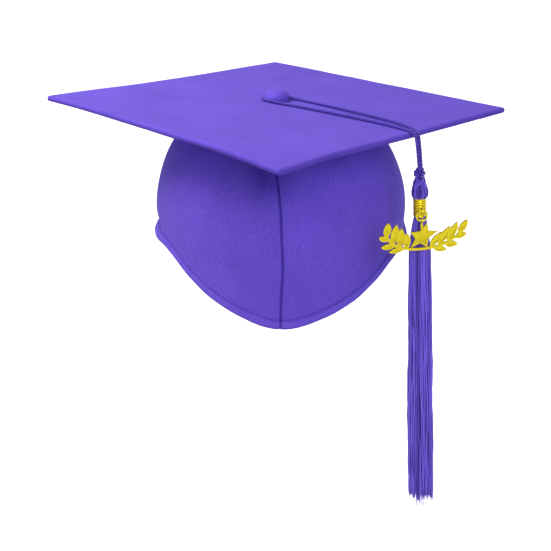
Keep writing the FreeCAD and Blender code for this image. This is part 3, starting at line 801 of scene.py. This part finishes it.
def crown_relief(side, angle, height, reach):
    """How far the cloth stands out from the plain form: seams, hem, gathers and soft folds."""
    from_seam = angle * reach
    to_back = (math.pi - angle) * reach
    rise = height - hem_height(angle)
    x, y = side * np.sin(angle) * reach, -np.cos(angle) * reach
    front = front_share(angle)
    back = 1 - front

    soft = 0.75 * MM * ripples(31, [0.075, 0.12], x, y, height) * ease(rise, 0, 30 * MM)
    soft += 0.18 * MM * ripples(32, [0.022, 0.034], x, y, height)

    wobble = ripples(33 + side, [0.009, 0.017], height)
    seam = -1.25 * MM * bump_at(from_seam, 0, 0.9 * MM) - 0.4 * MM * bump_at(from_seam, 0, 4 * MM)
    seam += 0.5 * MM * bump_at(from_seam, 10 * MM, 7 * MM)
    seam += 0.2 * MM * wobble * np.exp(-from_seam / (5 * MM))
    seam += -1.1 * MM * bump_at(to_back, 0, 1.0 * MM) + 0.25 * MM * wobble * np.exp(-to_back / (7 * MM))

    band = 0.5 * MM * (1 - ease(rise, HEM_WIDTH - 0.9 * MM, HEM_WIDTH - 0.2 * MM))
    band += -0.55 * MM * bump_at(rise, HEM_WIDTH, 0.7 * MM)
    band += -0.5 * MM * bump_at(rise, 0, 0.8 * MM)
    band += 0.35 * MM * ripples(36, [0.02, 0.035], from_seam) * np.exp(-rise / (7 * MM))
    hem = band * front

    flare = HEM_FLARE * bump_at(np.degrees(angle), 77, 20) * bump_at(rise, 1 * MM, 6.5 * MM)
    notch = -NOTCH_DEPTH[side] * bump_at(np.degrees(angle), 86, 14) * bump_at(height, 12.5 * MM, 4.6 * MM)

    phase = PLEAT_COUNT * angle + 1.3 * ripples(37 + side, [0.03, 0.05], from_seam)
    reach_up = 1 + 0.55 * ripples(39 + side, [0.021, 0.034], from_seam)
    fade = np.exp(-np.maximum(height - 22 * MM, 0) / (17 * MM * np.maximum(reach_up, 0.35)))
    pleats = back * fade * (1.15 * MM * np.sin(phase) + 0.5 * MM * np.sin(1.73 * phase + 1))
    drawn = -back * 1.6 * MM * bump_at(height, 15 * MM, 14 * MM)
    drawn += -back * 0.9 * MM * bump_at(height, CHANNEL_TOP, 1.1 * MM)

    below_board = CROWN_TOP - height
    tucks = 0.45 * MM * ripples(41, [0.012, 0.023], from_seam) * np.exp(-below_board / (6 * MM))
    return soft + seam + hem + flare + notch + pleats + drawn + tucks


def seam_spacing(arc, fine, coarse):
    """Distances from 0 to arc, close together near both ends."""
    steps = [0.0]
    while steps[-1] < arc / 2:
        steps.append(steps[-1] + min(coarse, fine * 1.22 ** len(steps)))
    near = np.array(steps) * (arc / 2) / steps[-1]
    return np.concatenate([near, arc - near[-2::-1]])


def crown_painted_light_and_shade(side, angle, height):
    """How light the cloth is, as painted shade and light: painted shade in the seams, along
    the hem's stitching and at its lower edge, a painted shadow of the board beside the
    front seam near the top, and painted light on the hem band and just under the board.
    """
    from_seam = angle * CROWN_RADIUS
    to_back = (math.pi - angle) * CROWN_RADIUS
    rise = height - hem_height(angle)
    front = front_share(angle)
    # painted shade in the front and back seams
    dark = 0.62 * bump_at(from_seam, 0, 0.75 * MM) + 0.5 * bump_at(to_back, 0, 0.9 * MM)
    # painted shade along the hem's stitched crease and at its folded lower edge
    dark += 0.34 * front * bump_at(rise, HEM_WIDTH, 0.75 * MM) + 0.2 * front * bump_at(rise, 0, 1.0 * MM)
    # painted light on the raised hem band
    dark -= 0.10 * front * bump_at(rise, HEM_WIDTH / 2, 2.6 * MM)
    # painted light on the cloth just under the board, where the board's shadow falls
    dark -= 0.16 * bump_at(CROWN_TOP - height, 6 * MM, 24 * MM)
    # painted shadow of the board beside the front seam near the top, stronger on the left; depth is how dark
    # it is
    middle, reach, depth = (10 * MM, 15 * MM, 0.5) if side < 0 else (2 * MM, 9 * MM, 0.3)
    dark += depth * bump_at(from_seam, middle, reach) * ease(height, 48 * MM, 68 * MM)
    return 0.5 * (1 - np.clip(dark, -0.25, 0.75))


def closed_sheet(shape, outer, inner, uvs, tone=0.5):
    """A sheet of cloth with thickness, from its two faces."""
    shape.grid(outer, uvs, shade=np.ravel(tone))
    shape.grid(inner[:, ::-1], uvs[:, ::-1])
    for edge in (np.s_[0, :], np.s_[-1, :], np.s_[:, 0], np.s_[:, -1]):
        strip = np.stack([outer[edge], inner[edge]])
        shape.grid(strip, np.stack([uvs[edge], uvs[edge] + CLOTH_THICK]))


def crown_layer(shape, side, angle, height, depth, thick, uvs, tone=0.5):
    """A sheet that follows the crown's cloth, from depth inward."""
    outer, inner = (crown_point(side, angle, height, inset)[0] for inset in (depth, depth + thick))
    closed_sheet(shape, outer, inner, uvs, tone)


def make_crown():
    for side, word in ((-1, "left"), (1, "right")):
        angles = seam_spacing(math.pi * CROWN_RADIUS, 0.3 * MM, 1.5 * MM) / CROWN_RADIUS
        share = np.linspace(0, 1, 92) ** 1.3
        angle, part = np.meshgrid(angles, share)
        hem = hem_height(angle)
        height = hem + (CROWN_TOP - hem) * part
        uvs = np.stack([angle * CROWN_RADIUS, height], axis=-1)
        shape = Shape()
        crown_layer(shape, side, angle, height, 0.0, CLOTH_THICK, uvs, crown_painted_light_and_shade(side, angle, height))
        panel = settle(shape.piece("crown_cloth_" + word, CLOTH), "cap", "cloth", "crown_" + word)
        on_it = [make_facing(side, word), make_seam_allowance(side, word)]
    make_hem_stitches()
    make_casing()
    make_elastic()
    make_crown_top()


def make_facing(side, word):
    """The turned hem inside the pointed front, wrapped round the lower edge."""
    depths = np.array([0.0, 0.5, 1.5, 4, 7, 7.8, 8.1]) * MM
    angle, depth = np.meshgrid(np.radians(np.linspace(0.6, 88, 130)), depths)
    height = hem_height(angle) + depth + 0.15 * MM
    uvs = np.stack([angle * CROWN_RADIUS, depth], axis=-1)
    shape = Shape()
    crown_layer(shape, side, angle, height, CLOTH_THICK + 0.05 * MM, 0.6 * MM, uvs)
    return settle(shape.piece("hem_facing_cloth_" + word, CLOTH), "cap", "cloth", "hem_facing_" + word)


def make_seam_allowance(side, word):
    """The cloth left beyond the front and back seams, pressed open inside."""
    shape = Shape()
    for from_back in (False, True):
        low = BACK_LEVEL + 13 * MM if from_back else hem_height(np.array(0.0)) + 9 * MM
        levels = np.linspace(low, CROWN_TOP - 3 * MM, 90)
        across, height = np.meshgrid(np.linspace(0.3, 9.5, 12) * MM, levels)
        angle = across / CROWN_RADIUS
        angle = math.pi - angle if from_back else angle
        lift = CLOTH_THICK + 0.15 * MM + 0.35 * MM * (across / (9 * MM)) ** 2
        lift = lift + 0.3 * MM * (1 + ripples(43 + side, [0.02, 0.035], height)) * (across / (9 * MM))
        crown_layer(shape, side, angle, height, lift, 0.5 * MM, np.stack([across, height], axis=-1))
    return settle(shape.piece("seam_allowance_" + word, CLOTH), "cap", "cloth")


def make_hem_stitches():
    """Topstitching round the whole lower edge and along the top of the elastic's channel."""
    shape = Shape()
    front = np.radians(np.linspace(0.8, 86, 260))
    back = np.radians(np.linspace(98, 179, 400))
    hem = hem_height(front) + HEM_WIDTH
    rows = [(front, hem, 0.0, 1), (front, hem, CLOTH_THICK + 0.7 * MM, -1)]
    rows.append((back, np.full_like(back, CHANNEL_TOP), 0.0, 1))
    for side in (-1, 1):
        for angle, height, inset, facing in rows:
            place, out = crown_point(side, angle, height, inset)
            stitches(shape, place, out * facing, radius=0.17 * MM)
    settle(shape.piece("hem_stitches", SEWING, weld=False), "cap", "cloth")


def round_back(angle, reach, level):
    """Places round the cap's shifted middle, with angles from its front."""
    return np.stack([reach * np.sin(angle) + crown_shift(level), -reach * np.cos(angle), level], axis=-1)


def make_casing():
    """The gathered channel inside the back that holds the elastic."""
    reach = np.array([88.3, 88.0, 87.7, 87.8, 88.3, 89.6, 91.0]) * MM
    level = np.array([22.0, 19.5, 15.5, 11.5, 9.4, 8.5, 8.9]) * MM
    angle = np.radians(np.linspace(97, 263, 480))
    arc = angle * 88 * MM
    folds = ripples(47, [0.007, 0.011], arc)[None, :]
    hang = np.linspace(0.3, 1, len(reach))[:, None]
    depth = np.array([0.5, 1.1, 0.9, 1.1, 0.8, 0.6, 0.3])[:, None] * MM * folds
    radius = reach[:, None] - np.maximum(depth, -0.2 * MM)
    height = np.broadcast_to(level[:, None], radius.shape) + folds * 0.3 * MM * hang
    shape = Shape()
    faces = []
    for inset in (0.0, 0.6 * MM):
        faces.append(round_back(angle, radius - inset, height - inset * 0.5))
    uvs = np.stack([np.broadcast_to(arc, radius.shape), height], axis=-1)
    closed_sheet(shape, faces[0], faces[1], uvs)
    piece = settle(shape.piece("elastic_casing_cloth", CLOTH), "cap", "cloth", "elastic_casing")


def make_elastic():
    """The woven elastic that lies in the channel."""
    low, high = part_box("elastic_band")
    angles = np.radians(np.linspace(100, 260, 160))
    angle, level = np.meshgrid(angles, np.linspace(low.z, high.z, 9))
    edge = bump_at(level, low.z, 0.7 * MM) + bump_at(level, high.z, 0.7 * MM)
    faces = []
    for side, reach in ((1, high.y), (-1, high.y - 1.0 * MM)):
        faces.append(round_back(angle, reach - side * 0.25 * MM * edge, level))
    shape = Shape()
    closed_sheet(shape, faces[0], faces[1], np.stack([angle * high.y, level], axis=-1))
    settle(shape.piece("elastic_woven", ELASTIC), "cap", "elastic", "elastic_band")


def make_crown_top():
    """The disc inside the crown, under the board, stitched round its edge."""
    low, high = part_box("crown_top_disc")
    reach = high.x
    profile = [(0.0, low.z)]
    profile += [(reach * share, low.z) for share in (0.1, 0.25, 0.4, 0.55, 0.7, 0.8)]
    groove = ((7, 0.1), (5, 0.25), (3, 0), (0.6, -0.1), (0, 0.3))
    profile += [(reach - inward * MM, low.z + up * MM) for inward, up in groove]
    profile += [(reach - 0.6 * MM, high.z - 0.1 * MM), (0.0, high.z - 0.1 * MM)]

    def wander(points, angle):
        out = np.linalg.norm(points[..., :2], axis=-1) / reach
        pucker = ripples(51, [0.011, 0.019], angle * reach) * 0.3 * MM * out**4
        swell = ripples(52, [0.03, 0.06], points[..., 0], points[..., 1]) * 0.15 * MM
        points[..., 2] += np.where(points[..., 2] < (low.z + high.z) / 2, pucker + swell, 0)
        return points

    shape = Shape()
    lathe(shape, profile[::-1], (0, 0), 180, wander)
    disc = settle(shape.piece("crown_top_cloth", LINING), "cap", "cloth", "crown_top_disc")
    thread = Shape()
    ring = outward_at(np.linspace(0, TURN, 300)) * (reach - 5 * MM)
    ring[:, 2] = low.z + 0.2 * MM
    stitches(thread, ring, np.tile((0.0, 0.0, -1.0), (300, 1)))
    settle(thread.piece("crown_top_stitches", SEWING, weld=False), "cap", "cloth")


# ---------------- the button


def make_button():
    base, top = BUTTON_LOW.z, BUTTON_HIGH.z
    shoulder = base + 2.0 * MM
    rise = top - shoulder
    profile = [(0.0, base + 0.1 * MM)]
    profile += [(BUTTON_RADIUS - 0.8 * MM, base + 0.1 * MM), (BUTTON_RADIUS - 0.3 * MM, base)]
    profile += [(BUTTON_RADIUS, base + 0.4 * MM), (BUTTON_RADIUS + 0.05 * MM, base + 1.2 * MM)]
    for share in np.linspace(0, 1, 20):
        tilt = share * math.pi / 2
        profile.append((BUTTON_RADIUS * math.cos(tilt) ** 0.85, shoulder + rise * math.sin(tilt) ** 1.15))

    def wander(points, angle):
        low = 1 - ease(points[..., 2], base + 0.5 * MM, shoulder + 1.4 * MM)
        folds = ripples(61, [0.0024, 0.004], angle * BUTTON_RADIUS) * 0.16 * MM * low
        points[..., :2] += unit(points[..., :2]) * folds[..., None]
        points[..., 2] += ripples(62, [0.008, 0.014], points[..., 0], points[..., 1]) * 0.1 * MM * (1 - low)
        return points

    shape = Shape()
    lathe(shape, profile, (BUTTON.x, BUTTON.y), 96, wander)
    piece = settle(shape.piece("button_cloth", CLOTH), "button", "cloth", "button_cover")


# ---------------- the tassel


def hang(piece, body, slot, node):
    """Lean a piece made upright outward about the knot, and let it ride."""
    about_knot = Matrix.Translation(KNOT) @ LEAN @ Matrix.Translation(-KNOT)
    piece.data.transform(about_knot)
    settle(piece, body, slot, node)


def strand(shape, reach, angle, height, radius, stray=(0.0, 0.0), **settings):
    """A strand of an upright piece, given round the line below the knot, and how far it strays."""
    x, y = reach * np.cos(angle) + stray[0], reach * np.sin(angle) + stray[1]
    line = np.stack([KNOT.x + x, KNOT.y + y, height], axis=-1)
    tube(shape, line, radius, outward_at(angle), **settings)


def make_knot():
    """The doubled cord's overhand knot, as a tight trefoil of the same rope."""
    turn = np.linspace(0, TURN, 240)
    shape = Shape()
    for index, side in enumerate((-3.75, -1.25)):
        ends = [from_button(136.7, side, 80.2), from_button(137.0, side * 0.9 - 0.2, 76.5), KNOT]
        rope(shape, np.array(ends), CORD_DIAMETER * 0.97, seed=60 + index)
    for index, (tilt, size) in enumerate(((0.35, 1.08), (-0.6, 0.92))):
        x = (np.sin(turn) + 2 * np.sin(2 * turn)) * 0.98 * MM * size
        z = -(np.cos(turn) - 2 * np.cos(2 * turn)) * 1.16 * MM * size
        y = -np.sin(3 * turn) * 1.35 * MM
        across = x * math.cos(tilt) - y * math.sin(tilt)
        back = x * math.sin(tilt) + y * math.cos(tilt)
        line = np.stack([across, back, z], axis=-1)
        rope(shape, line + np.array(KNOT), CORD_DIAMETER, seed=70 + index)
    settle(shape.piece("cord_knot_rope", CORD, weld=False), "knot", "cord", "cord_knot")


def head_reach(height):
    """The head's radius at a height: narrow at the knot, full below, drawn in at the band."""
    levels = np.array([57.0, 58.2, 59.6, 62.0, 65.0, 68.0, 70.0, 71.8]) * MM
    radii = np.array([4.2, 5.0, 5.6, 5.75, 5.0, 3.5, 2.5, 2.2]) * MM
    return np.interp(height, levels, radii)


def make_head():
    random = np.random.default_rng(81)
    shape = Shape()
    for layer, (count, inset) in enumerate(((48, 0.45 * MM), (40, 1.1 * MM), (26, 2.0 * MM))):
        for index in range(count):
            height = np.linspace(70.9 * MM - random.random() * 0.5 * MM, 57.3 * MM, 26)
            start = TURN * (index + random.uniform(-0.3, 0.3)) / count + layer
            rise = height - HEAD_BOTTOM
            sway = 0.22 * np.sin(rise / (5 * MM) + random.random() * TURN) * random.uniform(0.2, 1)
            angle = start + sway + random.uniform(-0.25, 0.25) * rise / (12 * MM)
            reach = head_reach(height) - inset + random.uniform(-0.25, 0.25) * MM
            shade = random.uniform(-0.35, 0.75)
            radius = random.uniform(0.42, 0.54) * MM
            # groove paints shade between the yarns and light on their outer sides
            strand(shape, reach, angle, height, radius, twist=500, shade=shade, groove=0.5)
    for turn in (-1, 1):
        for index in range(3):
            share = np.linspace(0, 1, 20)
            height = (71.6 - (5.5 + 0.8 * index) * share) * MM
            angle = -math.pi / 2 + turn * (0.9 - 1.5 * share + 2.1 * index)
            reach = head_reach(height) + 0.45 * MM - 1.6 * MM * share**3
            shade = random.uniform(0.1, 0.3)
            # groove paints shade between these strands and light on their outer sides
            strand(shape, reach, angle, height, 0.85 * MM, sides=8, twist=900, shade=shade, groove=0.9)
    hang(shape.piece("tassel_head_yarns", YARN, weld=False), "tassel", "yarn", "tassel_head")


def make_band():
    """The gold band: one wire wound close, its ends closed flat."""
    share = np.linspace(0, 1, 420)
    closing = share - np.sin(TURN * share) / TURN * 0.12
    height = BAND_BOTTOM + BAND_WIRE + closing * (HEAD_BOTTOM - BAND_BOTTOM - 2 * BAND_WIRE)
    angle = -TURN * BAND_TURNS * share - math.pi / 2 + 0.6
    shape = Shape()
    strand(shape, BAND_RADIUS, angle, height, BAND_WIRE, sides=12)
    hang(shape.piece("gold_band_coil", BRIGHT_GOLD, weld=False), "tassel", "gold", "band_coil")


def make_ring():
    """The jump ring, cut through and closed again at its upper right."""
    forward, level = RING_PLACE
    angle = np.linspace(0.95, 0.95 + TURN - 0.05, 90)
    offset = np.linspace(-0.08, 0.08, 90) * MM
    out = np.stack([np.cos(angle), angle * 0, np.sin(angle)], axis=-1)
    line = np.array((KNOT.x, KNOT.y - forward, level)) + out * RING_RADIUS
    line[:, 1] += offset
    shape = Shape()
    tube(shape, line, RING_WIRE, out, sides=14, round_ends=False)
    hang(shape.piece("jump_ring_wire", BRIGHT_GOLD, weld=False), "ring", "gold", "jump_ring")


def make_charm():
    """The charm with its edges softened, polished rims and satin hollows."""
    mesh = frame["nodes"]["charm"].data.copy()
    mesh.name = "charm_openwork"
    work = bmesh.new()
    work.from_mesh(mesh)
    bmesh.ops.remove_doubles(work, verts=work.verts, dist=1e-6)
    bmesh.ops.dissolve_limit(work, angle_limit=math.radians(2), verts=work.verts, edges=work.edges)
    sharp = [e for e in work.edges if e.is_manifold and e.calc_face_angle(0) > math.radians(40)]
    rounding = {"offset": 0.16 * MM, "segments": 2, "profile": 0.6, "affect": "EDGES"}
    bmesh.ops.bevel(work, geom=sharp, clamp_overlap=True, **rounding)
    bmesh.ops.triangulate(work, faces=[f for f in work.faces if len(f.verts) > 4])
    ahead = LEAN.to_3x3() @ Vector((0, -1, 0))
    front = max(vertex.co @ ahead for vertex in work.verts if vertex.co.z < CHARM_PLATE_TOP)
    for face in work.faces:
        depth = front - face.calc_center_median() @ ahead
        face.material_index = 1 if face.normal @ ahead > 0.9 and 0.35 * MM < depth < 0.65 * MM else 0
        face.smooth = True
    work.to_mesh(mesh)
    work.free()
    mesh.set_sharp_from_angle(angle=math.radians(50))
    mesh.materials.clear()
    mesh.materials.append(BRIGHT_GOLD)
    mesh.materials.append(SATIN_GOLD)
    piece = bpy.data.objects.new("charm_openwork", mesh)
    link(piece)
    settle(piece, "charm", "gold", "charm")


def fringe_reach(height):
    """The fringe's radius at a height."""
    levels = np.array([-183.0, -150.0, -90.0, -20.0, 20.0, 36.0, 43.7, 46.0]) * MM
    radii = np.array([9.6, 9.3, 8.8, 8.2, 7.4, 5.6, 4.2, 3.4]) * MM
    return np.interp(height, levels, radii)


def make_fringe():
    """Long yarns that hang from the band, a little wavy, with ragged ends."""
    random = np.random.default_rng(91)
    shape = Shape()
    thick = 0.52 * MM
    for count, share in ((52, 1.0), (46, 0.86), (38, 0.7), (28, 0.52), (18, 0.33), (8, 0.12)):
        for index in range(count):
            start = TURN * (index + random.uniform(-0.35, 0.35)) / count
            clump = 0.5 + 0.5 * math.sin(5 * start + 1.2) * math.cos(2 * start + 0.4)
            end = (-163.0 - 8.0 * clump * (0.6 + 0.4 * share) - random.uniform(0, 6.0)) * MM
            height = np.linspace(45.0 * MM, end, 54)
            fall = np.clip((43 * MM - height) / (220 * MM), 0, 1)
            reach = fringe_reach(height) * share - thick * 0.8
            drift = random.normal(0, 0.16) * fall + random.normal(0, 0.35) * fall**3 * (1.2 - share)
            angle = start + drift + 0.1 * np.sin(height / (26 * MM) + random.random() * TURN) * np.sqrt(fall)
            stray = [wave_line(random, height, fall) for _ in "xy"]
            width = np.full(54, thick * random.uniform(0.85, 1.1))
            width[-3:] *= (0.9, 0.75, 0.45)
            shade = random.uniform(0.0, 1.0)
            # groove paints shade between the yarns and light on their outer sides
            strand(shape, reach, angle, height, width, stray, twist=420, shade=shade, groove=0.3)
    hang(shape.piece("fringe_yarns", YARN, weld=False), "tassel", "yarn", "fringe")


def wave_line(random, height, fall):
    """One yarn's own waviness, small at the top."""
    total = 0.0
    for wavelength, size in ((95, 0.35), (48, 0.2), (21, 0.09)):
        length = wavelength * random.uniform(0.8, 1.25) * MM
        total = total + size * np.sin(TURN * (height / length + random.random()))
    return total * MM * np.minimum(1.0, fall * 2.2 + 0.05)


# ---------------- frame nodes that stay


def finish_frame_nodes():
    """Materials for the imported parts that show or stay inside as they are."""
    finishes = {
        "button_shell": STEEL,
        "button_post": STEEL,
        "button_washer": STEEL,
        "tassel_core": YARN,
        "band_eye": BRIGHT_GOLD,
    }
    for name, material in finishes.items():
        slots = frame["nodes"][name].data.materials
        slots.clear()
        slots.append(material)


make_camera()
make_stage()
make_loop_cord()
make_board()
make_crown()
make_button()
make_knot()
make_head()
make_band()
make_ring()
make_charm()
make_fringe()
finish_frame_nodes()
